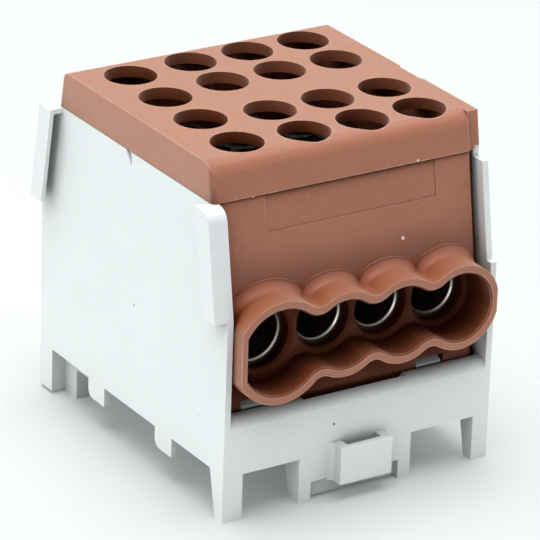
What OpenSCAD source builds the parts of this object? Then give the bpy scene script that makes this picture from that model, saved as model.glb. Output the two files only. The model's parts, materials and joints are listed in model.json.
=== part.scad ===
// Four-column main-line branch terminal block for a 35 mm top-hat rail.
// A plated bar with clamp screws sits in a brown insulating body with a pierced cap, and the body
// snaps into a pale grey carrier that stands on feet or hooks over the rail.
// Origin: middle of the underside. +Z is up, -Y is the front with the driver loop, columns run along X.

/* [Conductors] */
// Bore for the main conductor, diameter
main_bore = 8.4; // [7.6:0.1:8.8]
// Bore for a branch conductor, diameter
branch_bore = 7.5; // [6.6:0.1:7.8]
// Distance from the main column to the first branch column
main_pitch = 10.85; // [10.4:0.05:12]
// Distance between branch columns
branch_pitch = 10; // [9.6:0.1:11]
// Height of the main bore's axis above the feet
main_axis_z = 26.3; // [25.6:0.1:27]
// Height of the branch bores' axes above the feet
branch_axis_z = 26.9; // [26:0.1:27.6]
// Countersink at each bore mouth
bore_chamfer = 0.3; // [0.1:0.05:0.5]

/* [Terminal bar] */
// Length of the bar along the conductors
bar_len = 41.8; // [41:0.2:44]
// Metal left beside the outermost bores and under the deepest one
bar_web = 1.25; // [0.9:0.05:1.6]
// Thread length above a branch bore
thread_len = 6.15; // [5:0.05:7]
// Clearance around the bar in its pocket
bar_fit = 0.1; // [0.05:0.01:0.2]

/* [Clamp screws] */
// Outside diameter of the screw
screw_d = 6; // [5:0.1:6.4]
// Length of the headless screw
screw_len = 12; // [10:0.5:13]
// Radial clearance in the threaded hole
screw_fit = 0.05; // [0.02:0.01:0.09]
// Gap between a backed-out screw's tip and the bore below it
screw_lift = 0.25; // [0.1:0.05:0.6]
// Width across the flats of the hexagon socket
socket_af = 3; // [2.5:0.1:3.5]
// Depth of the hexagon socket
socket_depth = 3; // [2:0.1:4]
// Chamfer at both ends of the screw
screw_chamfer = 0.6; // [0.3:0.1:1]
// Distance of the branch columns' outer screws from the bar's ends
branch_end = 5.1; // [4.6:0.1:6]
// Distance of the branch columns' inner screws from the middle
branch_inner_y = 6.6; // [5.5:0.1:7.4]
// Distance of the main column's outer screws from the bar's ends
main_end = 5.9; // [4.6:0.1:7]
// Distance of the main column's inner screws from the middle
main_inner_y = 4.95; // [4.4:0.05:6]

/* [Brown body] */
// Side and lower wall thickness
body_wall = 1.3; // [1:0.05:1.5]
// Wall between the bar and the outside at the conductor entries
entry_wall = 3.5; // [3:0.1:4]
// Lean of the upper front and back walls, degrees
draft = 9.5; // [7:0.5:11]
// Height of the joint between body and cap
seam_z = 48.05; // [47:0.05:50]
// How far the body's top edge stands outside the bar's pocket
top_margin = 0.5; // [0.2:0.05:1]
// Width of the rebate down the body's right front corner
rebate_w = 1.25; // [0.8:0.05:1.4]
// Depth of that rebate
rebate_d = 1.3; // [0.8:0.05:1.6]
// Ledge that keeps the bar from rising on the left
stop_ledge = 0.9; // [0.5:0.1:1.2]
// How far the wide lower room stops short of the bar
pocket_lead = 1.25; // [0.5:0.05:2]

/* [Conductor collars] */
// How far the collars stand out of the body
collar_reach = 4.5; // [3:0.1:6]
// Wall thickness of the collars
collar_wall = 1.35; // [1:0.05:1.6]
// Inside radius of the main lobe
main_lobe_r = 6.65; // [6.2:0.05:7]
// Inside radius of a branch lobe
branch_lobe_r = 5.3; // [5.1:0.05:5.6]
// Rounding where two lobes meet, on the inside of the collar
cusp_r = 3.45; // [2.8:0.05:4]
// Wall left at the flat left side of the main lobe
collar_flat = 1.05; // [0.8:0.05:1.3]
// Width of the step round the inside of the collars' mouth
rim_step = 0.25; // [0.1:0.05:0.4]
// Depth of that step
rim_step_d = 0.2; // [0.1:0.05:0.4]
// Thickness left between the bar and the collar's floor
collar_floor = 2.1; // [1.6:0.1:2.6]
// Room around a conductor bore in the collar's floor
entry_room = 0.75; // [0.4:0.05:0.9]
// Lead-in chamfer on the collar's floor
entry_chamfer = 0.6; // [0.3:0.05:0.7]
// Fillet at the root of the collar
root_fillet = 1.5; // [0.8:0.1:2]
// How deep the fillet's skirt is sunk into the leaning wall
root_sink = 0.6; // [0.4:0.05:0.8]

/* [Label field] */
// Width of the sunk field on the front
label_w = 29.2; // [20:0.2:34]
// Height of the field
label_h = 5.7; // [3:0.1:8]
// Depth of the field
label_depth = 0.1; // [0.05:0.05:0.3]
// Distance from the main column to the field's left end
label_offset = 0.75; // [0:0.05:3]

/* [Cap] */
// Height of the cap above the joint
cap_h = 5.75; // [5:0.05:7]
// Thickness of the pierced top
cap_top = 1.8; // [1.4:0.1:2.4]
// Thickness of the cap's sides
cap_wall = 1.2; // [1:0.05:1.4]
// How far the cap stands proud of the body at the front and back
cap_proud = 0.25; // [0.1:0.05:0.4]
// Rounding along the front top edge
cap_round = 2.5; // [1.5:0.1:3]
// Rounding along the back top edge
back_round = 1.3; // [0.5:0.1:2.5]
// Rounding of the cap's left front corner
corner_round = 0.8; // [0.3:0.1:1.5]
// Driver hole diameter
driver_hole = 8; // [7:0.1:8.4]
// Thickness of the lip along the right end
lip_t = 1.9; // [1.2:0.1:2]
// How far the lip is set back from the front face
lip_setback = 0.4; // [0.2:0.05:0.8]
// Gap under the lip
lip_lift = 0.45; // [0.2:0.05:0.6]
// Length of the thumb notch in the lip's top edge
thumb_len = 6.1; // [4:0.1:8]
// Depth of the thumb notch
thumb_depth = 0.35; // [0.2:0.05:0.6]
// Length of the cap's locating tabs below the joint
tab_len = 2.5; // [1.5:0.1:3]
// Width of the locating tabs
tab_w = 3; // [2:0.1:4]
// Thickness of the locating tabs
tab_t = 1; // [0.8:0.05:1.2]

/* [Carrier] */
// Thickness of the side walls
side_wall = 1; // [0.8:0.05:1.4]
// Clearance between the side walls and the body
body_gap = 0.2; // [0.1:0.05:0.4]
// Thickness of the front and back beams
beam_t = 1.85; // [1.4:0.05:2.2]
// Clearance between a beam and the body
beam_gap = 0.3; // [0.15:0.05:0.5]
// Top of the beams above the feet
beam_top = 16.4; // [15:0.1:17]
// How far the beams reach below the rail seat
beam_drop = 0.3; // [0.1:0.1:0.8]
// How much further the carrier reaches at the back than at the front
back_margin = 0.35; // [0:0.05:0.6]
// Gap between the left wall's top and the cap above it
wall_gap = 0.05; // [0.05:0.05:0.3]
// Height of the shoulders where the side walls start to lean
shoulder_z = 31.8; // [30:0.1:33]
// Step at the right wall's shoulders
shoulder_step = 1.1; // [0.9:0.05:1.5]
// How far the right wall's upper corners are cut down
ledge_drop = 1.8; // [1:0.1:3]
// How far the right wall's full height stops behind the cap's front face
ledge_back = 1.15; // [0.8:0.05:1.6]
// Rounding of the left wall's upper front corner
wall_round = 2.2; // [1.5:0.1:3]
// Floor thickness
floor_t = 1.5; // [1.2:0.1:1.8]

/* [Rail] */
// Height of the rail, which is also the height of the seat on its flanges
rail_h = 7.5; // [7:0.1:8]
// Width of the rail over its flanges
rail_w = 35; // [34:0.5:36]
// Thickness of the rail's flanges
rail_t = 1; // [1:0.1:1.5]
// Clear width between the rail's webs, which the locating legs enter
rail_channel = 25; // [24:0.5:26]
// Bite of a hook under the rail's flange
hook_bite = 1.2; // [0.8:0.1:1.8]
// Clearance between rail and hooks or legs
rail_fit = 0.3; // [0.2:0.05:0.5]

/* [Feet] */
// Depth of a front corner foot at the floor
foot_toe = 2; // [1.5:0.1:3]
// Depth of a corner foot where it joins the wall
foot_root = 3.65; // [3:0.05:4.2]
// Width of the left front foot
left_foot_w = 3.35; // [2.5:0.05:4]
// Width of the right front foot
right_foot_w = 2.75; // [2:0.05:4]
// Width of the back feet
back_foot_w = 2.4; // [2:0.05:3.2]
// How far the back feet stop above the floor that the hooks beside them stand on
back_foot_rise = 0.45; // [0:0.05:0.8]
// Distance between the two middle feet
mid_foot_span = 17.45; // [15:0.05:20]
// Shift of the middle feet from the carrier's middle
mid_foot_shift = -0.4; // [-1:0.1:1]
// Width of a middle foot
mid_foot_w = 2.1; // [1.6:0.1:3]
// Depth of a middle foot at the floor
mid_toe = 2.55; // [2:0.05:3.4]
// Depth of a middle foot where it joins the beam
mid_root = 4.65; // [4:0.05:5.4]
// Width of the locating legs
leg_w = 4.75; // [3:0.05:6]
// Depth of the locating legs below the rail seat
leg_drop = 3.1; // [2:0.1:4]
// Rounding of the legs' back lower corner
leg_round = 1.3; // [0.5:0.1:2]
// Depth of the fixed hooks beside the back feet
hook_root = 7.1; // [6:0.1:8]
// Width of the fixed hooks
hook_w = 4; // [2:0.1:6]
// Thickness of the fixed hooks' noses
hook_t = 1.2; // [0.8:0.1:1.6]

/* [Rail catch] */
// Lower edge of the skirt between the middle feet
skirt_z = 3.15; // [2.5:0.05:4]
// Thickness of the skirt
skirt_t = 1.45; // [1.2:0.05:1.8]
// Thickness of the leaf behind the skirt
leaf_t = 1.3; // [1:0.05:1.6]
// Gap between the leaf and whatever it stands on
leaf_gap = 0.4; // [0.2:0.05:0.8]
// Width of the springy hook under the rail
catch_w = 12; // [8:0.5:14]
// Thickness of the springy hook's tongue
tongue_t = 1.6; // [1.2:0.1:2]
// Depth of the notch in the beam's top above the skirt
notch_depth = 1.3; // [0.8:0.1:1.6]
// Width of that notch across the beam
notch_cut = 0.8; // [0.5:0.05:1.1]
// Width of the driver loop
loop_w = 9; // [7:0.1:11]
// Height of the driver loop
loop_h = 5.95; // [4.5:0.05:7]
// Lower edge of the driver loop
loop_z = 2.75; // [2:0.05:3.2]
// How far the loop stands out of the skirt
loop_reach = 2.35; // [2:0.05:4]
// Width of the slot in the loop
loop_slot_w = 6; // [4.5:0.1:6.4]
// Depth of the slot in the loop
loop_slot_d = 1.55; // [1:0.05:1.7]
// Fillet at the roots of the loop
loop_fillet = 0.8; // [0.4:0.1:1.2]

/* [Snap hooks] */
// Width of the hooks that hold the body
snap_w = 4.3; // [3:0.1:5]
// Thickness of the hooks
snap_t = 1.2; // [1:0.05:1.5]
// Room above the hooks inside the body
snap_room = 2.1; // [1:0.05:3]
// Clearance around a nose in its window
snap_fit = 0.3; // [0.15:0.05:0.4]
// Distance of the left hooks from the body's left side
snap_left = 3; // [2:0.1:5]
// Distance of the right hooks from the body's right side
snap_right = 6.4; // [4:0.1:8]
// Height of the nose
nose_h = 1.2; // [0.9:0.1:1.8]
// How far the nose stays short of the body's outside
nose_shy = 0.15; // [0.05:0.05:0.4]

/* [Coupling rails] */
// How far the rails for coupling blocks stand out of the left wall
flange_reach = 2.15; // [1.9:0.05:3]
// Width of the slot that takes a neighbour's right wall
slot_w = 1.5; // [1.1:0.05:1.6]
// Width of the lip in front of the slot
flange_w = 3.4; // [2.6:0.1:4.5]
// Thickness of the bridge that closes the slot at the top
bridge_t = 0.8; // [0.6:0.05:1.5]
// How much higher the back rail ends than the front one
back_rail_lift = 0.6; // [0:0.05:1.5]
// Width of the pry mark in the left wall's top edge
pry_w = 1.7; // [1:0.1:3]
// Height of the pry mark
pry_h = 2; // [1:0.1:3]
// Depth of the pry mark
pry_depth = 0.45; // [0.2:0.05:0.6]
// Distance of the pry mark from the middle
pry_y = 0.7; // [0:0.1:3]

/* [Supports under the bar] */
// Thickness of the support ribs
rib_t = 1.6; // [1.2:0.1:2.4]
// Distance of the ribs from the middle
rib_y = 12; // [8:0.5:16]
// How far the ribs stop short of the bar's ends
rib_inset = 1.25; // [0.5:0.05:3]

/* [Hidden] */
$fn = 72;
// Overlap that makes cuts and unions clean
eps = 0.5;

// Stack of sizes across the width, from the left coupling rail to the right wall
main_from_left = flange_reach + side_wall + body_gap + body_wall + bar_fit + bar_web + main_bore / 2;
right_of_last = branch_bore / 2 + bar_web + bar_fit + body_wall + body_gap + side_wall;
overall_w = main_from_left + main_pitch + 2 * branch_pitch + right_of_last;
flange_x = -overall_w / 2;
panel_x = flange_x + flange_reach;
body_x0 = panel_x + side_wall + body_gap;
bar_x0 = body_x0 + body_wall + bar_fit;
main_x = flange_x + main_from_left;
branch_x = main_x + main_pitch;
bar_x1 = branch_x + 2 * branch_pitch + branch_bore / 2 + bar_web;
body_x1 = bar_x1 + bar_fit + body_wall;
right_x = body_x1 + body_gap;
outer_x1 = right_x + side_wall;
carrier_mid = (panel_x + outer_x1) / 2;
skirt_mid = carrier_mid + mid_foot_shift;

// Stack of sizes from the middle to the front or back
pocket_half = bar_len / 2 + bar_fit;
body_half = pocket_half + entry_wall;
body_top_half = pocket_half + top_margin;
cap_half = body_top_half + cap_proud;
branch_outer_y = bar_len / 2 - branch_end;
main_outer_y = bar_len / 2 - main_end;
beam_in = body_half + beam_gap;
carrier_half = beam_in + beam_t;
carrier_back = carrier_half + back_margin;
rim_y = body_half + collar_reach;
floor_y = pocket_half + collar_floor;
leaf_out = carrier_half - skirt_t;
leaf_in = leaf_out - leaf_t;
snap_out = body_half - body_wall - bar_fit;
web_t = shoulder_step - bar_fit;

// Stack of heights
floor_z = rail_h + floor_t;
bores_z0 = min(main_axis_z - main_bore / 2, branch_axis_z - branch_bore / 2);
bores_z1 = max(main_axis_z + main_bore / 2, branch_axis_z + branch_bore / 2);
bar_z0 = bores_z0 - bar_web;
bar_z1 = bores_z1 + thread_len;
tip_z = bores_z1 + screw_lift;
lean_z = seam_z - (body_half - body_top_half) / tan(draft);
cap_z1 = seam_z + cap_h;
wall_top = seam_z - wall_gap;
lug_z = seam_z + lip_lift - bar_fit;
ledge_z = lug_z - ledge_drop;
beam_z0 = rail_h - beam_drop;
room_z1 = bar_z0 - pocket_lead;
nose_top = room_z1 - snap_room;
snap_z = nose_top - nose_h;
grip_z = rail_h - rail_t - rail_fit;

// Columns as [x, axis height, bore diameter, lobe radius, outer row, inner row]
COLUMNS = [
    [main_x, main_axis_z, main_bore, main_lobe_r, main_outer_y, main_inner_y],
    for (i = [0:2])
        let (x = branch_x + i * branch_pitch)
            [x, branch_axis_z, branch_bore, branch_lobe_r, branch_outer_y, branch_inner_y]
];
COLUMN_NAMES = ["main", "branch_1", "branch_2", "branch_3"];
ROW_NAMES = ["front_outer", "front_inner", "back_inner", "back_outer"];

function row_y(column, row) = [-column[4], -column[5], column[5], column[4]][row];
function screw_name(c, r) = str("screw_", COLUMN_NAMES[c], "_", ROW_NAMES[r]);

GREY = [0.83, 0.86, 0.86];
BROWN = [0.62, 0.39, 0.31];
PLATED = [0.78, 0.77, 0.74];
STEEL = [0.22, 0.22, 0.23];

// Where two circles cross, on the given side of the line between their centres
function circle_meet(c1, r1, c2, r2, side) =
    let (
        gap = c2 - c1,
        d = norm(gap),
        u = gap / d,
        along = (r1 * r1 - r2 * r2 + d * d) / (2 * d),
        off = sqrt(r1 * r1 - along * along)
    )
    c1 + along * u + side * off * [-u[1], u[0]];

// A list of points mirrored about the first coordinate, in the opposite order
function mirrored(points) = [for (i = [len(points) - 1:-1:0]) [-points[i][0], points[i][1]]];

// A half outline made whole by its mirror image
function both_halves(half) = concat(half, mirrored(half));

// Distance of the leaning wall edge from the middle at a height
function lean_y(base_y, base_z, z) = base_y - (z - base_z) * tan(draft);

// Extrudes an outline drawn in Y and Z along X
module along_x(x, length) {
    translate([x, 0, 0])
        rotate([90, 0, 90])
            linear_extrude(length)
                children();
}

// Extrudes an outline drawn in X and Z along Y
module along_y(y, length) {
    translate([0, y + length, 0])
        rotate([90, 0, 0])
            linear_extrude(length)
                children();
}

// A box from its lowest to its highest corner
module block(low, high) {
    translate(low)
        cube(high - low);
}

// The back half's feature and its mirror image at the front
module front_and_back() {
    children();
    mirror([0, 1, 0])
        children();
}

// Lower edge of a side wall from its straight back foot to its tapered front foot
function wall_hem() = [
    [carrier_back, back_foot_rise],
    [carrier_back - foot_root, back_foot_rise],
    [carrier_back - foot_root, rail_h],
    [foot_root - carrier_half, rail_h],
    [foot_toe - carrier_half, 0],
    [-carrier_half, 0]
];

// A side wall's outline from its upper back and front edges, both drawn on the back side
module wall_outline(back, front) {
    polygon(concat([for (point = back) point + [back_margin, 0]], wall_hem(), mirrored(front)));
    leg_y = rail_channel / 2 - rail_fit;
    for (y = [-leg_y, leg_y - leg_w])
        translate([y, rail_h - leg_drop])
            leg_outline();
}

// Locating leg with its back lower corner rounded
module leg_outline() {
    difference() {
        square([leg_w, leg_drop + eps]);
        translate([leg_w - leg_round, leg_round])
            difference() {
                translate([0, -leg_round])
                    square(leg_round);
                circle(leg_round);
            }
    }
}

// Centre of the rounding at the left wall's upper front corner
round_z = wall_top - wall_round;
round_y = lean_y(carrier_half, shoulder_z, round_z) - wall_round / cos(draft);

module left_wall_outline() {
    wall_outline(
        [
            [lean_y(carrier_half, shoulder_z, wall_top), wall_top],
            [carrier_half, shoulder_z]
        ],
        [
            [round_y, wall_top],
            [round_y + wall_round * cos(draft), round_z + wall_round * sin(draft)],
            [carrier_half, shoulder_z]
        ]
    );
    translate([-round_y, round_z])
        circle(wall_round);
}

module right_wall_outline() {
    upper_y = carrier_half - shoulder_step;
    lug_y = cap_half - ledge_back;
    upper = [
        [lug_y, lug_z],
        [lug_y, ledge_z],
        [lean_y(upper_y, shoulder_z, ledge_z), ledge_z],
        [upper_y, shoulder_z],
        [carrier_half, shoulder_z]
    ];
    wall_outline(upper, upper);
}

// Strip along the left wall's leaning edge, of a width and between two heights
module lean_strip(width, low, high) {
    polygon([
        [lean_y(carrier_half, shoulder_z, low) + eps, low],
        [lean_y(carrier_half, shoulder_z, low) - width, low],
        [lean_y(carrier_half, shoulder_z, high) - width, high],
        [lean_y(carrier_half, shoulder_z, high) + eps, high]
    ]);
}

// The front and back strips from below the rails' lower ends up to a height
module lean_strips(width, below, high) {
    mirror([1, 0])
        lean_strip(width, shoulder_z - below, high);
    translate([back_margin, 0])
        lean_strip(width, shoulder_z + back_rail_lift - below, high);
}

// Rails on the left wall, each with a slot for a neighbour's right wall
module coupling_rails() {
    difference() {
        along_x(flange_x, flange_reach)
            intersection() {
                left_wall_outline();
                lean_strips(flange_w, 0, wall_top);
            }
        along_x(panel_x - slot_w, slot_w)
            difference() {
                lean_strips(flange_w + 2 * eps, eps, wall_top - bridge_t);
                lean_strips(web_t, 2 * eps, wall_top);
            }
    }
}

module beam() {
    along_x(panel_x, outer_x1 - panel_x) {
        polygon([
            [beam_in, beam_z0],
            [carrier_half, beam_z0],
            [carrier_half, beam_top - beam_t],
            [beam_in, beam_top]
        ]);
        intersection() {
            translate([beam_in, beam_top - beam_t])
                circle(beam_t);
            translate([beam_in, beam_top - beam_t])
                square(beam_t);
        }
    }
}

// A foot of one depth where it joins the carrier and another at the floor
module foot(x, width, root, toe) {
    along_x(x, width)
        polygon([
            [carrier_half, 0],
            [carrier_half - toe, 0],
            [carrier_half - root, rail_h],
            [carrier_half, rail_h]
        ]);
}

// Straight back foot, which stops a little above the floor
module back_foot(x) {
    block([x, carrier_back - foot_root, back_foot_rise], [x + back_foot_w, carrier_back, rail_h]);
}

// Skirt between the middle feet, the springy leaf behind it and the hook that grips the rail's flange
module rail_catch() {
    half_span = mid_foot_span / 2;
    block(
        [skirt_mid - half_span, leaf_out, skirt_z],
        [skirt_mid + half_span, carrier_half, beam_z0 + eps]
    );
    block(
        [skirt_mid - half_span, leaf_in, leaf_gap],
        [skirt_mid + half_span, leaf_out + eps, floor_z]
    );
    tongue_z = leaf_gap + tongue_t;
    grip_y = rail_w / 2 + rail_fit;
    along_x(skirt_mid - catch_w / 2, catch_w)
        polygon([
            [leaf_in + eps, leaf_gap],
            [leaf_in + eps, tongue_z],
            [grip_y + tongue_t / 2, tongue_z],
            [grip_y, grip_z],
            [rail_w / 2 - hook_bite, grip_z],
            [rail_w / 2 - hook_bite, grip_z - tongue_t],
            [rail_w / 2 - hook_bite / 2, leaf_gap]
        ]);
}

// Fixed hook beside a back foot, with a nose that reaches under the rail's flange
module fixed_hook(x) {
    hook_y = carrier_back - hook_root;
    block([x, hook_y, 0], [x + hook_w, beam_in, rail_h + eps]);
    block([x, rail_w / 2 - hook_bite, grip_z - hook_t], [x + hook_w, hook_y + eps, grip_z]);
}

// Notch along the inner top edge of the beam, with sloping ends
module beam_notch() {
    half = (mid_foot_span - mid_foot_w) / 2;
    rise = notch_depth + eps;
    translate([skirt_mid, 0, beam_top - notch_depth])
        along_y(beam_in - eps, notch_cut + eps)
            polygon([[-half, 0], [half, 0], [half + rise, rise], [-half - rise, rise]]);
}

// Hook that stands on the floor inside the body and shows its nose in the body's window
module snap_hook(x) {
    along_x(x, snap_w)
        polygon([
            [snap_out, floor_z - eps],
            [snap_out - snap_t, floor_z - eps],
            [snap_out - snap_t, nose_top],
            [snap_out, nose_top],
            [body_half - nose_shy, snap_z + nose_h / 3],
            [body_half - nose_shy, snap_z],
            [snap_out, snap_z]
        ]);
}

module driver_loop() {
    translate([carrier_mid, -carrier_half, loop_z])
        linear_extrude(loop_h)
            difference() {
                union() {
                    translate([-loop_w / 2, -loop_reach])
                        square([loop_w, loop_reach + eps]);
                    for (side = [-1, 1])
                        difference() {
                            translate([side * loop_w / 2, (eps - loop_fillet) / 2])
                                square([2 * loop_fillet, loop_fillet + eps], center = true);
                            translate([side * (loop_w / 2 + loop_fillet), -loop_fillet])
                                circle(loop_fillet);
                        }
                }
                translate([-loop_slot_w / 2, -loop_slot_d])
                    square([loop_slot_w, loop_slot_d]);
            }
}

// Pry mark in the outer face of the left wall's top edge
module pry_mark() {
    along_x(panel_x - eps, pry_depth + eps)
        polygon([
            [pry_y, wall_top - pry_h],
            [pry_y, wall_top + eps],
            [pry_y + pry_w * (pry_h + eps) / pry_h, wall_top + eps]
        ]);
}

module carrier() {
    half_span = mid_foot_span / 2;
    color(GREY)
        difference() {
            union() {
                along_x(panel_x, side_wall)
                    left_wall_outline();
                along_x(right_x, side_wall)
                    right_wall_outline();
                block([panel_x, -beam_in - eps, rail_h], [outer_x1, beam_in + 2 * eps, floor_z]);
                coupling_rails();
                translate([0, back_margin, 0])
                    beam();
                front_and_back() {
                    snap_hook(body_x0 + snap_left);
                    snap_hook(body_x1 - snap_right - snap_w);
                    block(
                        [bar_x0 + rib_inset, rib_y - rib_t / 2, floor_z - eps],
                        [bar_x1 - rib_inset, rib_y + rib_t / 2, bar_z0]
                    );
                }
                back_foot(panel_x);
                back_foot(outer_x1 - back_foot_w);
                fixed_hook(panel_x + back_foot_w);
                fixed_hook(outer_x1 - back_foot_w - hook_w);
                mirror([0, 1, 0]) {
                    beam();
                    foot(panel_x, left_foot_w, foot_root, foot_toe);
                    foot(outer_x1 - right_foot_w, right_foot_w, foot_root, foot_toe);
                    for (side = [-1, 1])
                        foot(skirt_mid + side * half_span - mid_foot_w / 2, mid_foot_w, mid_root, mid_toe);
                    rail_catch();
                }
                driver_loop();
            }
            mirror([0, 1, 0]) {
                beam_notch();
                block(
                    [skirt_mid - half_span + mid_foot_w, rail_w / 2 + rail_fit, rail_h - eps],
                    [skirt_mid + half_span - mid_foot_w, leaf_in - rail_fit, floor_z + eps]
                );
            }
            pry_mark();
        }
}

// Inside outline of the collars, grown outwards by a wall
module collar_outline(grow) {
    for (column = COLUMNS)
        translate([column[0], column[1]])
            circle(column[3] + grow);
    for (i = [0:2]) {
        c1 = [COLUMNS[i][0], COLUMNS[i][1]];
        c2 = [COLUMNS[i + 1][0], COLUMNS[i + 1][1]];
        r1 = COLUMNS[i][3] + cusp_r;
        r2 = COLUMNS[i + 1][3] + cusp_r;
        upper = circle_meet(c1, r1, c2, r2, 1);
        lower = circle_meet(c1, r1, c2, r2, -1);
        difference() {
            polygon([c1, upper, c2, lower]);
            for (cusp = [upper, lower])
                translate(cusp)
                    circle(cusp_r - grow);
        }
    }
}

// Keeps an outline in X and Z between two X values
module between_x(low, high) {
    intersection() {
        children();
        translate([low, 0])
            square([high - low, cap_z1]);
    }
}

// Solid collars with a fillet at the root of each lobe, on the back side
module collar_solid() {
    along_y(body_half - entry_wall / 2, entry_wall / 2 + collar_reach)
        between_x(body_x0, body_x1)
            collar_outline(collar_wall);
    intersection() {
        for (column = COLUMNS)
            translate([column[0], body_half - root_sink, column[1]])
                rotate([-90, 0, 0])
                    rotate_extrude()
                        root_section(column[3] + collar_wall);
        block([body_x0, 0, 0], [body_x1 - rebate_w, rim_y, cap_z1]);
    }
}

// Concave section of the fillet round a lobe of the given outside radius
module root_section(radius) {
    difference() {
        translate([radius - eps, -eps])
            square([root_fillet + eps, root_fillet + eps]);
        translate([radius + root_fillet, root_fillet])
            circle(root_fillet);
    }
}

// Everything that is open in the collars and the wall behind them, on the back side
module conductor_entries() {
    along_y(floor_y, rim_y - floor_y + eps)
        between_x(body_x0 + collar_flat, body_x1)
            collar_outline(0);
    along_y(rim_y - rim_step_d, rim_step_d + eps)
        between_x(body_x0 + collar_flat - rim_step, body_x1)
            collar_outline(rim_step);
    for (column = COLUMNS) {
        entry_r = column[2] / 2 + entry_room;
        translate([column[0], pocket_half - eps, column[1]])
            rotate([-90, 0, 0])
                cylinder(r = entry_r, h = collar_floor + 2 * eps);
        translate([column[0], floor_y - entry_chamfer, column[1]])
            rotate([-90, 0, 0])
                cylinder(r1 = entry_r, r2 = entry_r + entry_chamfer, h = entry_chamfer);
    }
}

module body_outline() {
    polygon(both_halves([
        [body_top_half, seam_z],
        [body_half, lean_z],
        [body_half, floor_z]
    ]));
}

// Pocket for the bar, the room above it for the screws and the open foot below it
module body_pocket() {
    top_half = body_top_half - body_wall;
    inner_x0 = body_x0 + body_wall;
    inner_x1 = body_x1 - body_wall;
    block(
        [inner_x0, -body_half + body_wall, floor_z - eps],
        [inner_x1 - rebate_w, body_half - body_wall, room_z1]
    );
    block([inner_x0, -pocket_half, floor_z], [inner_x1, pocket_half, bar_z1 + bar_fit]);
    along_x(inner_x0 + stop_ledge, inner_x1 - rebate_w - inner_x0 - stop_ledge)
        polygon(both_halves([
            [top_half - eps * tan(draft), seam_z + eps],
            [pocket_half, seam_z - (pocket_half - top_half) / tan(draft)],
            [pocket_half, bar_z1]
        ]));
}

module snap_window(x) {
    block(
        [x - snap_fit, body_half - body_wall - eps, snap_z - snap_fit],
        [x + snap_w + snap_fit, body_half + eps, nose_top + snap_fit]
    );
}

// Sunk field on the leaning front wall, just under the cap
module label_field() {
    translate([main_x + label_offset, -body_top_half, seam_z])
        rotate([-draft, 0, 0])
            translate([0, -eps, -label_h])
                cube([label_w, label_depth + eps, label_h + eps]);
}

module housing() {
    color(BROWN)
        difference() {
            union() {
                along_x(body_x0, body_x1 - rebate_w - body_x0)
                    body_outline();
                along_x(body_x1 - rebate_w - eps, rebate_w + eps)
                    intersection() {
                        body_outline();
                        translate([rebate_d, 0])
                            body_outline();
                    }
                front_and_back()
                    collar_solid();
            }
            body_pocket();
            front_and_back() {
                conductor_entries();
                snap_window(body_x0 + snap_left);
                snap_window(body_x1 - snap_right - snap_w);
            }
            label_field();
        }
}

// Centre of a rounding along the cap's top edge, on the back side
function edge_centre(radius) =
    let (z = cap_z1 - radius)
        [lean_y(cap_half, seam_z, z) - radius / cos(draft), z];

// Section of the cap: leaning sides and a top rounded along the back
module cap_outline() {
    centre = edge_centre(back_round);
    polygon([
        [centre[0], cap_z1],
        centre + back_round * [cos(draft), sin(draft)],
        [cap_half, seam_z],
        [-cap_half, seam_z],
        [-lean_y(cap_half, seam_z, cap_z1), cap_z1]
    ]);
    translate(centre)
        circle(back_round);
}

// What the rounding takes off the cap's front top edge, drawn on the back side
module edge_waste() {
    centre = edge_centre(cap_round);
    difference() {
        polygon([
            centre,
            [centre[0], cap_z1 + eps],
            [cap_half + eps, cap_z1 + eps],
            centre + (cap_round + eps) * [cos(draft), sin(draft)]
        ]);
        translate(centre)
            circle(cap_round);
    }
}

// What the lip leaves out at its front, drawn on the back side
module lip_waste() {
    lip_half = cap_half - lip_setback;
    polygon([
        [lean_y(lip_half, seam_z, cap_z1 + eps), cap_z1 + eps],
        [lean_y(lip_half, seam_z, seam_z - eps), seam_z - eps],
        [cap_half + eps, seam_z - eps],
        [cap_half + eps, cap_z1 + eps]
    ]);
}

// What the rounding takes off a left corner of the cap, on the back side
module corner_waste(x, y) {
    translate([x, y, seam_z])
        rotate([draft, 0, 0])
            translate([0, 0, -eps])
                linear_extrude(cap_h + 2 * eps)
                    difference() {
                        translate([-eps, -corner_round])
                            square(corner_round + eps);
                        translate([corner_round, -corner_round])
                            circle(corner_round);
                    }
}

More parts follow.
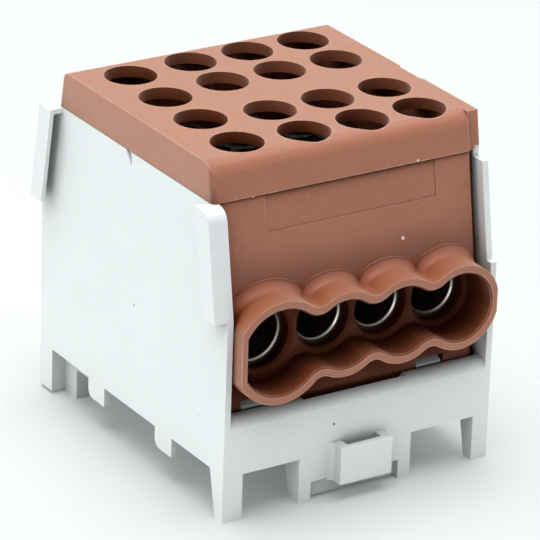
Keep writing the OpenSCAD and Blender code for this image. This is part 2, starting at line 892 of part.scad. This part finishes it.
module cap() {
    cap_x0 = panel_x + bar_fit;
    cap_x1 = body_x1 - rebate_w + bar_fit;
    lip_x1 = cap_x1 + lip_t;
    hollow_z = cap_z1 - cap_top;
    tab_y = body_top_half - body_wall - bar_fit;
    color(BROWN)
        difference() {
            union() {
                difference() {
                    along_x(cap_x0, lip_x1 - cap_x0)
                        cap_outline();
                    along_x(cap_x0 + cap_wall + side_wall, cap_x1 - cap_x0 - 2 * cap_wall - side_wall)
                        polygon(both_halves([
                            [lean_y(cap_half - cap_wall, seam_z, hollow_z), hollow_z],
                            [cap_half - cap_wall, seam_z],
                            [cap_half - cap_wall, seam_z - eps]
                        ]));
                    mirror([0, 1, 0]) {
                        along_x(cap_x0 - eps, cap_x1 - cap_x0 + eps)
                            edge_waste();
                        along_x(cap_x1, lip_t + eps)
                            lip_waste();
                    }
                    block(
                        [body_x1, -cap_half - eps, seam_z - eps],
                        [lip_x1 + eps, cap_half + eps, seam_z + lip_lift]
                    );
                }
                for (i = [0:2], side = [-1, 1])
                    translate([
                        (COLUMNS[i][0] + COLUMNS[i + 1][0]) / 2,
                        side * (tab_y - tab_t / 2),
                        (seam_z - tab_len + hollow_z + eps) / 2
                    ])
                        cube([tab_w, tab_t, hollow_z + eps - seam_z + tab_len], center = true);
            }
            for (column = COLUMNS, row = [0:3])
                translate([column[0], row_y(column, row), hollow_z - eps])
                    cylinder(d = driver_hole, h = cap_top + 2 * eps);
            mirror([0, 1, 0])
                corner_waste(cap_x0, cap_half);
            block(
                [lip_x1 - thumb_depth, -thumb_len, cap_z1 - lip_t / 2],
                [lip_x1 + eps, 0, cap_z1 + eps]
            );
        }
}

module terminal_bar() {
    color(PLATED)
        difference() {
            block([bar_x0, -bar_len / 2, bar_z0], [bar_x1, bar_len / 2, bar_z1]);
            for (column = COLUMNS) {
                translate([column[0], 0, column[1]])
                    rotate([90, 0, 0])
                        cylinder(d = column[2], h = bar_len + 2 * eps, center = true);
                front_and_back()
                    translate([column[0], bar_len / 2 - bore_chamfer, column[1]])
                        rotate([-90, 0, 0])
                            cylinder(
                                r1 = column[2] / 2,
                                r2 = column[2] / 2 + bore_chamfer,
                                h = bore_chamfer
                            );
                for (row = [0:3])
                    translate([column[0], row_y(column, row), column[1]])
                        cylinder(r = screw_d / 2 + screw_fit, h = bar_z1 - column[1] + eps);
            }
        }
}

module clamp_screw(column, row) {
    radius = screw_d / 2;
    color(STEEL)
        translate([column[0], row_y(column, row), tip_z])
            difference() {
                rotate_extrude()
                    polygon([
                        [0, 0],
                        [radius - screw_chamfer, 0],
                        [radius, screw_chamfer],
                        [radius, screw_len - screw_chamfer],
                        [radius - screw_chamfer, screw_len],
                        [0, screw_len]
                    ]);
                translate([0, 0, screw_len - socket_depth])
                    cylinder(d = socket_af / cos(30), h = socket_depth + eps, $fn = 6);
            }
}

carrier();
housing();
cap();
terminal_bar();
for (c = [0:3], r = [0:3])
    clamp_screw(COLUMNS[c], r);
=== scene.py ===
"""Looks of a four-column main-line branch terminal block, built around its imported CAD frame.

The moulded pieces and the bar keep their CAD meshes and get rounded edges and finishes here.
The clamp screws are remade with real threads. Lengths are in metres, unless their name ends in _MM.
"""

import json
import math

import bmesh
import bpy
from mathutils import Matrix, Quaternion, Vector


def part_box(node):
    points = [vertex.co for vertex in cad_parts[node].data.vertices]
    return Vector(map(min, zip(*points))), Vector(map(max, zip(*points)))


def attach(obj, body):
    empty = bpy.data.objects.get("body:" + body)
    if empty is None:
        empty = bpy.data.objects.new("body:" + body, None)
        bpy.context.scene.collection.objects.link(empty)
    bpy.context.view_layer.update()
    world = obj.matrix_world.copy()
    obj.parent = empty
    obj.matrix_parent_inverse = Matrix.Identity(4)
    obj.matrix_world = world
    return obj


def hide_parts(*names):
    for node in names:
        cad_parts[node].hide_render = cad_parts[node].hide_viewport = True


MM = 0.001

# Camera that took the photograph, in the part's frame
CAMERA_AT_MM = (-305.124, -473.711, 269.782)
CAMERA_TO_MM = (1.051, -1.351, 25.522)
CAMERA_ROLL_DEG = 1.96
CAMERA_LENS = 273.384
CAMERA_SENSOR = 36
CAMERA_REACH = 10

# Edge roundings of the moulded pieces and the bar
EDGE_MM = {"carrier": 0.16, "housing": 0.14, "cap": 0.2, "terminal_bar": 0.06}
EDGE_SEGMENTS = 3
EDGE_ANGLE_DEG = 35
WELD_MM = 0.003
FLAT_ANGLE_DEG = 0.5
NORMAL_WEIGHT = 80

# Specks seen on the mouldings: place and radius in millimetres, linear colour
CHIP = (0.85, 0.76, 0.68)
SOOT = (0.09, 0.09, 0.085)
DUST = (0.45, 0.46, 0.46)
BROWN_SPECKS = [
    ((9.67, -23.3, 37.27), 0.34, CHIP),
    ((12.77, -21.7, 48.3), 0.2, CHIP),
    ((-15.31, -21.52, 47.95), 0.16, CHIP),
]
GREY_SPECKS = [
    ((-22.18, -0.77, 24.44), 0.2, SOOT),
    ((-3.33, -26.65, 11.67), 0.24, SOOT),
    ((23.32, -23.03, 34.44), 0.22, SOOT),
    ((-22.17, -19.38, 14.51), 0.16, DUST),
]

# Plastics, as linear colours, with pale grain, painted highlights on edges and painted shade in hollows and
# under covers.
# Only the brown one has a sheen and painted shade on upright faces above its ledges
BROWN = {
    "open": (0.378, 0.127, 0.067),
    "pale_grain_and_edge_highlight": (0.7, 0.42, 0.31),
    "painted_hollow_shade": (0.3, 0.078, 0.03),
    "deep": (0.06, 0.015, 0.007),
    "painted_ledge_shade": (0.195, 0.058, 0.028),
    "sheen": (1.0, 0.77, 0.6),
    "mottling": 0.05,
    "specks": BROWN_SPECKS,
}
GREY = {
    "open": (0.81, 0.855, 0.86),
    "pale_grain_and_edge_highlight": (0.88, 0.91, 0.915),
    "painted_hollow_shade": (0.79, 0.825, 0.825),
    "deep": (0.5, 0.515, 0.51),
    "mottling": 0.02,
    "specks": GREY_SPECKS,
}
PLASTIC_IOR = 1.5
PLASTIC_GLOSS = 0.5
PLASTIC_ROUGHNESS = (0.42, 0.54)
SHEEN_ROUGHNESS = 0.45
EDGE_HIGHLIGHT_MM = 0.3

# Painted shade in hollows of the plastics: the reach within which they are closed off, and the closed shares
# at which they take a painted shade colour, a darker painted shade and dimmed gloss
HOLLOW_MM = 20
HOLLOW_FROM_TO = (0.04, 0.5)
DEEP_FROM_TO = (0.44, 0.76)
MATT_FROM_TO = (0.25, 0.6)

# Painted shade under covers: how far faces look up, what the closed share takes off, where the darker painted
# shade sets in
COVER_LIFT = 1.5
COVER_LESS = 0.6
COVER_FROM_TO = (0.3, 0.5)

# Painted shade on upright faces above ledges: the reach and the way down in which ledges are found, and where
# it sets in
LEDGE_MM = 8
LEDGE_LIFT = -0.8
LEDGE_FROM_TO = (0.1, 0.56)
UPRIGHT_FROM_TO = (0.3, 0.12)

# Metals, as linear colours, and how far the bar's rims and its top stay free of the painted shade in and
# round the bores
PLATED = (0.93, 0.92, 0.9)
# Tin for the random stains and, as painted shade, for the bar's top
STAIN_AND_TOP_SHADE_TIN = (0.46, 0.45, 0.43)
# Painted shade in and round the bores, brownish
BORE_SHADE = (0.07, 0.04, 0.028)
BLACKENED = (0.045, 0.04, 0.038)
STAIN_LEVEL = 0.72
PATCH_LEVEL = 0.6
RIM_WIDTH_MM = (0.12, 0.3)
RIM_DEPTH_MM = (0.15, 0.5)
TOP_DEPTH_MM = (0.05, 0.3)

# Clamp screw thread and socket
THREAD_PITCH_MM = 1.0
THREAD_DEPTH_MM = 0.54
THREAD_SEGMENTS = 36
THREAD_RINGS_PER_TURN = 8
SCREW_CHAMFER_MM = 0.6
SOCKET_SIDES = 6
SOCKET_AF_MM = 3.0
SOCKET_DEPTH_MM = 3.0
SOCKET_POINT_MM = 0.5

# Surroundings: their level as a light and as seen, and the darker opening in front
WORLD_LEVEL = 0.5
WORLD_SEEN = 0.95
WORLD_COLOUR = (0.97, 1.0, 1.0)
OPENING_TOWARDS = (-0.496, -0.773, 0.394)
OPENING_FROM_TO = (0.5, 0.92)
OPENING_LEVEL = 0.05

# Soft square lights
LIGHT_AIM = (0, 0, 0.03)
LIGHTS = {
    "overhead": {"place": (-0.05, 0.05, 0.9), "size": 0.9, "watts": 9.2},
    "left": {"place": (-0.8, 0.15, 0.35), "size": 0.8, "watts": 0.4},
    "front_left": {"place": (-0.7, -0.35, 0.4), "size": 0.5, "watts": 1.2},
    "right": {"place": (0.8, 0.1, 0.4), "size": 0.8, "watts": 1.2},
}

# Floor: its level as seen, a faint glow as seen that lifts its shadows, and where it dims in front as a light
FLOOR_HALF = 4
FLOOR_COLOUR = (0.97, 0.98, 0.98)
FLOOR_ROUGHNESS = 0.7
FLOOR_SEEN = 0.66
FLOOR_GLOW = 0.1
FLOOR_GLOW_COLOUR = (0.84, 1.0, 1.0)
FLOOR_DIM_MM = (50, 130)
FLOOR_DIM_LEVEL = 0.8

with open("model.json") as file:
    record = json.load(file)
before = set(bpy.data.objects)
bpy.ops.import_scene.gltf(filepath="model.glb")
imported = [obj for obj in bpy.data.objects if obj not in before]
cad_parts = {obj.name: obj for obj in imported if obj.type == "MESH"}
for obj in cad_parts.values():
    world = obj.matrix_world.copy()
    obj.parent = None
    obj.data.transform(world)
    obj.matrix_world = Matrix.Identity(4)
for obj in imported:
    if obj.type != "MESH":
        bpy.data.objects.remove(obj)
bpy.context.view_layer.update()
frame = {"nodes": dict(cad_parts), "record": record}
NODES = frame["nodes"]
SCREW_NODES = sorted(name for name in NODES if name.startswith("screw_"))


def millimetres(point):
    """A point given in millimetres, in metres."""
    return Vector(point) * MM


def scaled(colour, level):
    """A colour made darker or lighter all over."""
    return tuple(channel * level for channel in colour)


class Nodes:
    """A node tree, with short ways to add and link its nodes."""

    def __init__(self, tree):
        self.tree = tree

    def add(self, kind, settings=None, inputs=None):
        """A new node with some of its settings and inputs given."""
        node = self.tree.nodes.new(kind)
        for name, value in (settings or {}).items():
            setattr(node, name, value)
        for name, value in (inputs or {}).items():
            self.feed(node.inputs[name], value)
        return node

    def feed(self, socket, value):
        """Links a socket to an input, or sets the input to a value."""
        if isinstance(value, bpy.types.NodeSocket):
            self.tree.links.new(value, socket)
        else:
            socket.default_value = value

    def math(self, operation, first, second=0.0):
        """One sum on two numbers."""
        return self.add("ShaderNodeMath", {"operation": operation}, {0: first, 1: second}).outputs[0]

    def vector(self, operation, first, second=(0, 0, 0)):
        """One sum on two vectors, which gives a vector or, for a dot product or distance, a number."""
        node = self.add("ShaderNodeVectorMath", {"operation": operation}, {0: first, 1: second})
        return node.outputs["Value" if operation in ("DOT_PRODUCT", "DISTANCE") else "Vector"]

    def ramp(self, value, low, high, to=(0.0, 1.0), shape="SMOOTHSTEP"):
        """Maps low..high to another range, and stays within it."""
        inputs = {"Value": value, "From Min": low, "From Max": high, "To Min": to[0], "To Max": to[1]}
        return self.add("ShaderNodeMapRange", {"interpolation_type": shape}, inputs).outputs["Result"]

    def seen(self):
        """1 for rays from the camera, and for reflected and transmitted ones, else 0."""
        path = self.add("ShaderNodeLightPath").outputs
        mirrored = self.math("MAXIMUM", path["Is Camera Ray"], path["Is Glossy Ray"])
        return self.math("MAXIMUM", mirrored, path["Is Transmission Ray"])


class Finish(Nodes):
    """One procedural material."""

    def __init__(self, name):
        self.material = bpy.data.materials.new(name)
        self.material.use_nodes = True
        super().__init__(self.material.node_tree)
        self.tree.nodes.clear()
        self.place = self.add("ShaderNodeTexCoord").outputs["Object"]
        self.facing = self.add("ShaderNodeNewGeometry").outputs["Normal"]

    def noise(self, size_mm, detail, roughness=0.5):
        """Noise from 0 to 1 with features of about that size."""
        inputs = {"Vector": self.place, "Scale": 1 / (size_mm * MM), "Detail": detail, "Roughness": roughness}
        return self.add("ShaderNodeTexNoise", inputs=inputs).outputs["Fac"]

    def mix(self, share, first, second):
        """Mixes two colours, each a colour or a socket."""
        node = self.add("ShaderNodeMix", {"data_type": "RGBA"}, {"Factor": share})
        ends = [socket for socket in node.inputs if socket.type == "RGBA"]
        for end, value in zip(ends, (first, second)):
            self.feed(end, value if isinstance(value, bpy.types.NodeSocket) else (*value, 1))
        return next(socket for socket in node.outputs if socket.type == "RGBA")

    def edges(self, radius_mm):
        """1 on edges, falling to 0 a little way from them."""
        rounded = self.add("ShaderNodeBevel", {"samples": 6}, {"Radius": radius_mm * MM}).outputs["Normal"]
        return self.ramp(self.vector("DOT_PRODUCT", rounded, self.facing), 0.985, 0.85)

    def closed_off(self, reach_mm, lift):
        """Share of the view out of the surface, lifted towards the sky, that is closed off within a reach."""
        out = self.vector("NORMALIZE", self.vector("ADD", self.facing, (0, 0, lift)))
        inputs = {"Distance": reach_mm * MM, "Normal": out}
        opening = self.add("ShaderNodeAmbientOcclusion", {"samples": 8}, inputs).outputs["AO"]
        return self.math("SUBTRACT", 1.0, opening)

    def upright(self):
        """1 on upright faces, 0 on those that face up."""
        up = self.add("ShaderNodeSeparateXYZ", inputs={"Vector": self.facing}).outputs["Z"]
        return self.ramp(up, *UPRIGHT_FROM_TO)

    def spot(self, centre_mm, radius_mm):
        """1 within a small blotch, 0 outside it."""
        distance = self.vector("DISTANCE", self.place, millimetres(centre_mm))
        return self.ramp(distance, radius_mm * MM, radius_mm * 0.6 * MM)

    def bump(self, height, depth_mm, strength, under=None):
        """A normal that follows a height, on top of another bump if there is one."""
        inputs = {"Height": height, "Distance": depth_mm * MM, "Strength": strength}
        if under is not None:
            inputs["Normal"] = under
        return self.add("ShaderNodeBump", inputs=inputs).outputs["Normal"]

    def finish(self, inputs):
        """The material, with a surface of these inputs."""
        shader = self.add("ShaderNodeBsdfPrincipled", inputs=inputs)
        output = self.add("ShaderNodeOutputMaterial", inputs={"Surface": shader.outputs[0]})
        output.is_active_output = True
        return self.material


def moulded_plastic(name, tones):
    """Satin moulded plastic: faint mottling, fine grain, painted edge highlights, painted shade in hollows,
    under covers and above ledges, and a few specks.
    """
    f = Finish(name)
    mottling = tones["mottling"]
    cloud = f.ramp(f.noise(size_mm=9, detail=3), 0.3, 0.7)
    base = f.mix(cloud, scaled(tones["open"], 1 - mottling), tones["open"])
    grain = f.noise(size_mm=0.22, detail=2, roughness=0.6)
    base = f.mix(f.ramp(grain, 0.55, 0.8, to=(0, 0.35)), base, tones["pale_grain_and_edge_highlight"])
    # Painted highlights on the edges, patchy along them, in the same pale colour as the grain
    stretch = f.ramp(f.noise(size_mm=1.6, detail=3), 0.3, 0.65, to=(0.45, 1.0))
    base = f.mix(f.math("MULTIPLY", f.edges(EDGE_HIGHLIGHT_MM), stretch), base, tones["pale_grain_and_edge_highlight"])

    closed = f.closed_off(HOLLOW_MM, 0)
    # Painted shade: a warmer, darker colour where the view out is closed off
    base = f.mix(f.ramp(closed, *HOLLOW_FROM_TO), base, tones["painted_hollow_shade"])
    # Painted shade on upright faces just above ledges that close off the view down
    if "painted_ledge_shade" in tones:
        painted_ledge_shade = f.ramp(f.closed_off(LEDGE_MM, LEDGE_LIFT), *LEDGE_FROM_TO)
        base = f.mix(f.math("MULTIPLY", painted_ledge_shade, f.upright()), base, tones["painted_ledge_shade"])
    # Painted shade, darker still, deep in hollows and on faces under a cover
    from_above = f.closed_off(HOLLOW_MM, COVER_LIFT)
    covered = f.math("SUBTRACT", from_above, f.math("MULTIPLY", closed, COVER_LESS))
    deep = f.math("MAXIMUM", f.ramp(closed, *DEEP_FROM_TO), f.ramp(covered, *COVER_FROM_TO))
    base = f.mix(deep, base, tones["deep"])
    for centre, radius, tint in tones["specks"]:
        base = f.mix(f.spot(centre, radius), base, tint)

    # Gloss and sheen dimmed in hollows and under covers, as painted shade on the reflections
    reflection_shade = f.math("MAXIMUM", f.ramp(closed, *MATT_FROM_TO), deep)
    glossy = f.math("SUBTRACT", 1.0, reflection_shade)
    waves = f.bump(f.noise(size_mm=3.5, detail=2), depth_mm=0.1 * mottling, strength=0.35)
    inputs = {
        "Base Color": base,
        "Roughness": f.ramp(f.noise(size_mm=2.4, detail=4), 0.25, 0.75, to=PLASTIC_ROUGHNESS),
        "IOR": PLASTIC_IOR,
        "Specular IOR Level": f.math("MULTIPLY", glossy, PLASTIC_GLOSS),
        "Normal": f.bump(grain, depth_mm=0.012, strength=0.5, under=waves),
    }
    if "sheen" in tones:
        inputs["Sheen Weight"] = glossy
        inputs["Sheen Roughness"] = SHEEN_ROUGHNESS
        inputs["Sheen Tint"] = (*tones["sheen"], 1)
    return f.finish(inputs)


def plated_metal(name, bar_high, bores):
    """Tin, bright on the rims of the bores, darker on top of the bar as painted shade, and painted shade in
    and round the bores.
    """
    f = Finish(name)
    x, y, z = f.add("ShaderNodeSeparateXYZ", inputs={"Vector": f.place}).outputs
    section = f.add("ShaderNodeCombineXYZ", inputs={"X": x, "Z": z}).outputs[0]
    beside = 1.0
    for bore in bores:
        bore_x, _, bore_z = bore["pos_m"]
        distance = f.vector("DISTANCE", section, (bore_x, 0, bore_z))
        beside = f.math("MINIMUM", beside, f.math("SUBTRACT", distance, bore["dims"]["r_mm"] * MM))
    around = f.ramp(beside, *(width * MM for width in RIM_WIDTH_MM))
    inward = f.ramp(f.math("ABSOLUTE", y), *(bar_high.y - depth * MM for depth in RIM_DEPTH_MM))
    below_top = f.ramp(z, *(bar_high.z - depth * MM for depth in TOP_DEPTH_MM))
    # Painted shade, brownish, inside the bores and on the end faces round them, but not on their rims or the
    # bar's top
    bore_shade = f.math("MULTIPLY", f.math("MAXIMUM", inward, around), below_top)
    stain = f.ramp(f.noise(size_mm=1.8, detail=4), 0.35, 0.7, to=(0, 0.3))
    # The darker tin is painted shade on the bar's top, and the colour of the random stains elsewhere
    tin = f.mix(stain, f.mix(below_top, STAIN_AND_TOP_SHADE_TIN, PLATED), scaled(STAIN_AND_TOP_SHADE_TIN, STAIN_LEVEL))
    streak = f.noise(size_mm=0.12, detail=3, roughness=0.7)
    satin = f.ramp(streak, 0.3, 0.7, to=(0.3, 0.42))
    return f.finish(
        {
            "Base Color": f.mix(bore_shade, tin, BORE_SHADE),
            "Metallic": 1.0,
            "Roughness": f.math("ADD", satin, f.math("MULTIPLY", bore_shade, 0.2)),
            "Normal": f.bump(streak, depth_mm=0.006, strength=0.4),
        }
    )


def blackened_steel(name):
    """Oil-blackened steel with worn patches and fine turning marks."""
    f = Finish(name)
    patch = f.ramp(f.noise(size_mm=1.1, detail=4), 0.35, 0.7)
    return f.finish(
        {
            "Base Color": f.mix(patch, BLACKENED, scaled(BLACKENED, PATCH_LEVEL)),
            "Metallic": 1.0,
            "Roughness": f.ramp(f.noise(size_mm=0.4, detail=3), 0.3, 0.7, to=(0.46, 0.6)),
            "Normal": f.bump(f.noise(size_mm=0.09, detail=2), depth_mm=0.004, strength=0.4),
        }
    )


def dress(node, material):
    """Gives a CAD node one finish."""
    node.data.materials.clear()
    node.data.materials.append(material)


def soften(node, width_mm):
    """Rounds a CAD node's sharp edges with modifiers, so its own mesh stays as it is."""
    weld = node.modifiers.new("weld", "WELD")
    weld.merge_threshold = WELD_MM * MM
    merge = node.modifiers.new("merge_flats", "DECIMATE")
    merge.decimate_type = "DISSOLVE"
    merge.angle_limit = math.radians(FLAT_ANGLE_DEG)
    rounding = node.modifiers.new("rounding", "BEVEL")
    rounding.width = width_mm * MM
    rounding.segments = EDGE_SEGMENTS
    rounding.limit_method = "ANGLE"
    rounding.angle_limit = math.radians(EDGE_ANGLE_DEG)
    rounding.miter_outer = "MITER_ARC"
    normals = node.modifiers.new("normals", "WEIGHTED_NORMAL")
    normals.mode = "FACE_AREA"
    normals.weight = NORMAL_WEIGHT


def thread_radius(radius, height, turn):
    """Radius of a triangular thread at a height along the screw and a share of a turn."""
    phase = (height / (THREAD_PITCH_MM * MM) - turn) % 1.0
    return radius - THREAD_DEPTH_MM * MM * abs(2 * phase - 1)


def screw_mesh(radius, length):
    """Threaded headless screw standing on the origin, with a hexagon socket in its top."""
    bm = bmesh.new()
    chamfer = SCREW_CHAMFER_MM * MM
    ring_count = round(length / (THREAD_PITCH_MM * MM)) * THREAD_RINGS_PER_TURN
    rings = []
    for level in range(ring_count + 1):
        z = length * level / ring_count
        limit = radius - max(0, chamfer - min(z, length - z))
        ring = []
        for step in range(THREAD_SEGMENTS):
            turn = step / THREAD_SEGMENTS
            r = min(limit, thread_radius(radius, z, turn))
            angle = 2 * math.pi * turn
            ring.append(bm.verts.new((r * math.cos(angle), r * math.sin(angle), z)))
        rings.append(ring)
    for lower, upper in zip(rings, rings[1:]):
        for i in range(THREAD_SEGMENTS):
            j = (i + 1) % THREAD_SEGMENTS
            bm.faces.new((lower[i], lower[j], upper[j], upper[i]))
    bm.faces.new(reversed(rings[0]))
    corner = SOCKET_AF_MM * MM / math.sqrt(3)
    depth = SOCKET_DEPTH_MM * MM

    def hexagon(z):
        turns = [math.radians(360 / SOCKET_SIDES * i) for i in range(SOCKET_SIDES)]
        return [bm.verts.new((corner * math.cos(a), corner * math.sin(a), z)) for a in turns]

    mouth = hexagon(length)
    floor = hexagon(length - depth)
    point = bm.verts.new((0, 0, length - depth - SOCKET_POINT_MM * MM))
    share = THREAD_SEGMENTS // SOCKET_SIDES
    for i in range(SOCKET_SIDES):
        j = (i + 1) % SOCKET_SIDES
        arc = [rings[-1][(i * share + k) % THREAD_SEGMENTS] for k in range(share + 1)]
        bm.faces.new((*arc, mouth[j], mouth[i]))
        bm.faces.new((mouth[i], mouth[j], floor[j], floor[i]))
        bm.faces.new((floor[i], floor[j], point))
    mesh = bpy.data.meshes.new("threaded_screw")
    bmesh.ops.recalc_face_normals(bm, faces=bm.faces)
    bm.to_mesh(mesh)
    bm.free()
    return mesh


def add_screws(material):
    """One threaded screw for each CAD screw, all sharing one mesh."""
    low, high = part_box(SCREW_NODES[0])
    mesh = screw_mesh((high.x - low.x) / 2, high.z - low.z)
    mesh.materials.append(material)
    members = frame["record"]["behaviour"]["bodies"]
    bodies = {node: body for body, nodes in members.items() for node in nodes}
    for name in SCREW_NODES:
        low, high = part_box(name)
        screw = bpy.data.objects.new(name.replace("screw_", "threaded_screw_"), mesh)
        bpy.context.scene.collection.objects.link(screw)
        screw.location = ((low.x + high.x) / 2, (low.y + high.y) / 2, low.z)
        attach(screw, bodies[name])
        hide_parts(name)


def add_world():
    """Even pale surroundings, dimmer as a light than they look, with a darker opening in front."""
    world = bpy.data.worlds.new("studio")
    world.use_nodes = True
    bpy.context.scene.world = world
    n = Nodes(world.node_tree)
    way = n.add("ShaderNodeTexCoord").outputs["Generated"]
    facing = n.vector("DOT_PRODUCT", way, OPENING_TOWARDS)
    levels = (WORLD_LEVEL, WORLD_LEVEL * OPENING_LEVEL)
    as_light = n.ramp(facing, *OPENING_FROM_TO, to=levels, shape="LINEAR")
    background = n.tree.nodes["Background"]
    n.feed(background.inputs["Color"], (*WORLD_COLOUR, 1))
    n.feed(background.inputs["Strength"], n.ramp(n.seen(), 0, 1, to=(as_light, WORLD_SEEN), shape="LINEAR"))


def add_floor():
    """Pale floor that the whole picture stands on, greyer as seen than as a bounce light."""
    f = Finish("floor")
    tone = f.ramp(f.noise(size_mm=60, detail=2), 0.3, 0.7, to=(0.985, 1.0))
    seen = f.seen()
    ahead = f.vector("DOT_PRODUCT", f.place, (*OPENING_TOWARDS[:2], 0))
    as_light = f.ramp(ahead, *(edge * MM for edge in FLOOR_DIM_MM), to=(1, FLOOR_DIM_LEVEL))
    level = f.ramp(seen, 0, 1, to=(as_light, FLOOR_SEEN), shape="LINEAR")
    material = f.finish(
        {
            "Base Color": f.mix(f.math("MULTIPLY", tone, level), (0, 0, 0), FLOOR_COLOUR),
            "Roughness": FLOOR_ROUGHNESS,
            "Emission Color": (*FLOOR_GLOW_COLOUR, 1),
            "Emission Strength": f.math("MULTIPLY", seen, FLOOR_GLOW),
        }
    )
    mesh = bpy.data.meshes.new("floor")
    corners = [(-1, -1), (1, -1), (1, 1), (-1, 1)]
    mesh.from_pydata([(x * FLOOR_HALF, y * FLOOR_HALF, 0) for x, y in corners], [], [(0, 1, 2, 3)])
    mesh.materials.append(material)
    floor = bpy.data.objects.new("floor", mesh)
    bpy.context.scene.collection.objects.link(floor)


def add_light(name, place, size, watts):
    """A square soft light that points at the part."""
    data = bpy.data.lights.new(name, "AREA")
    data.shape = "SQUARE"
    data.size = size
    data.energy = watts
    light = bpy.data.objects.new(name, data)
    light.location = place
    light.rotation_euler = (Vector(LIGHT_AIM) - Vector(place)).to_track_quat("-Z", "Y").to_euler()
    bpy.context.scene.collection.objects.link(light)


def add_camera():
    """The camera of the photograph."""
    data = bpy.data.cameras.new("camera")
    data.sensor_width = CAMERA_SENSOR
    data.lens = CAMERA_LENS
    data.clip_end = CAMERA_REACH
    camera = bpy.data.objects.new("camera", data)
    place = millimetres(CAMERA_AT_MM)
    turn = (millimetres(CAMERA_TO_MM) - place).to_track_quat("-Z", "Y")
    roll = Quaternion((0, 0, 1), math.radians(CAMERA_ROLL_DEG))
    camera.location = place
    camera.rotation_euler = (turn @ roll).to_euler()
    bpy.context.scene.collection.objects.link(camera)
    bpy.context.scene.camera = camera


bpy.context.scene.view_settings.view_transform = "Standard"
brown = moulded_plastic("brown_plastic", BROWN)
dress(NODES["housing"], brown)
dress(NODES["cap"], brown)
dress(NODES["carrier"], moulded_plastic("grey_plastic", GREY))
bores = [mount for mount in frame["record"]["mounts"] if mount["kind"] == "clamp"]
dress(NODES["terminal_bar"], plated_metal("plated_bar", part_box("terminal_bar")[1], bores))
for node_name, edge in EDGE_MM.items():
    soften(NODES[node_name], edge)
add_screws(blackened_steel("screw_steel"))
add_world()
add_floor()
for light_name, settings in LIGHTS.items():
    add_light(light_name, **settings)
add_camera()
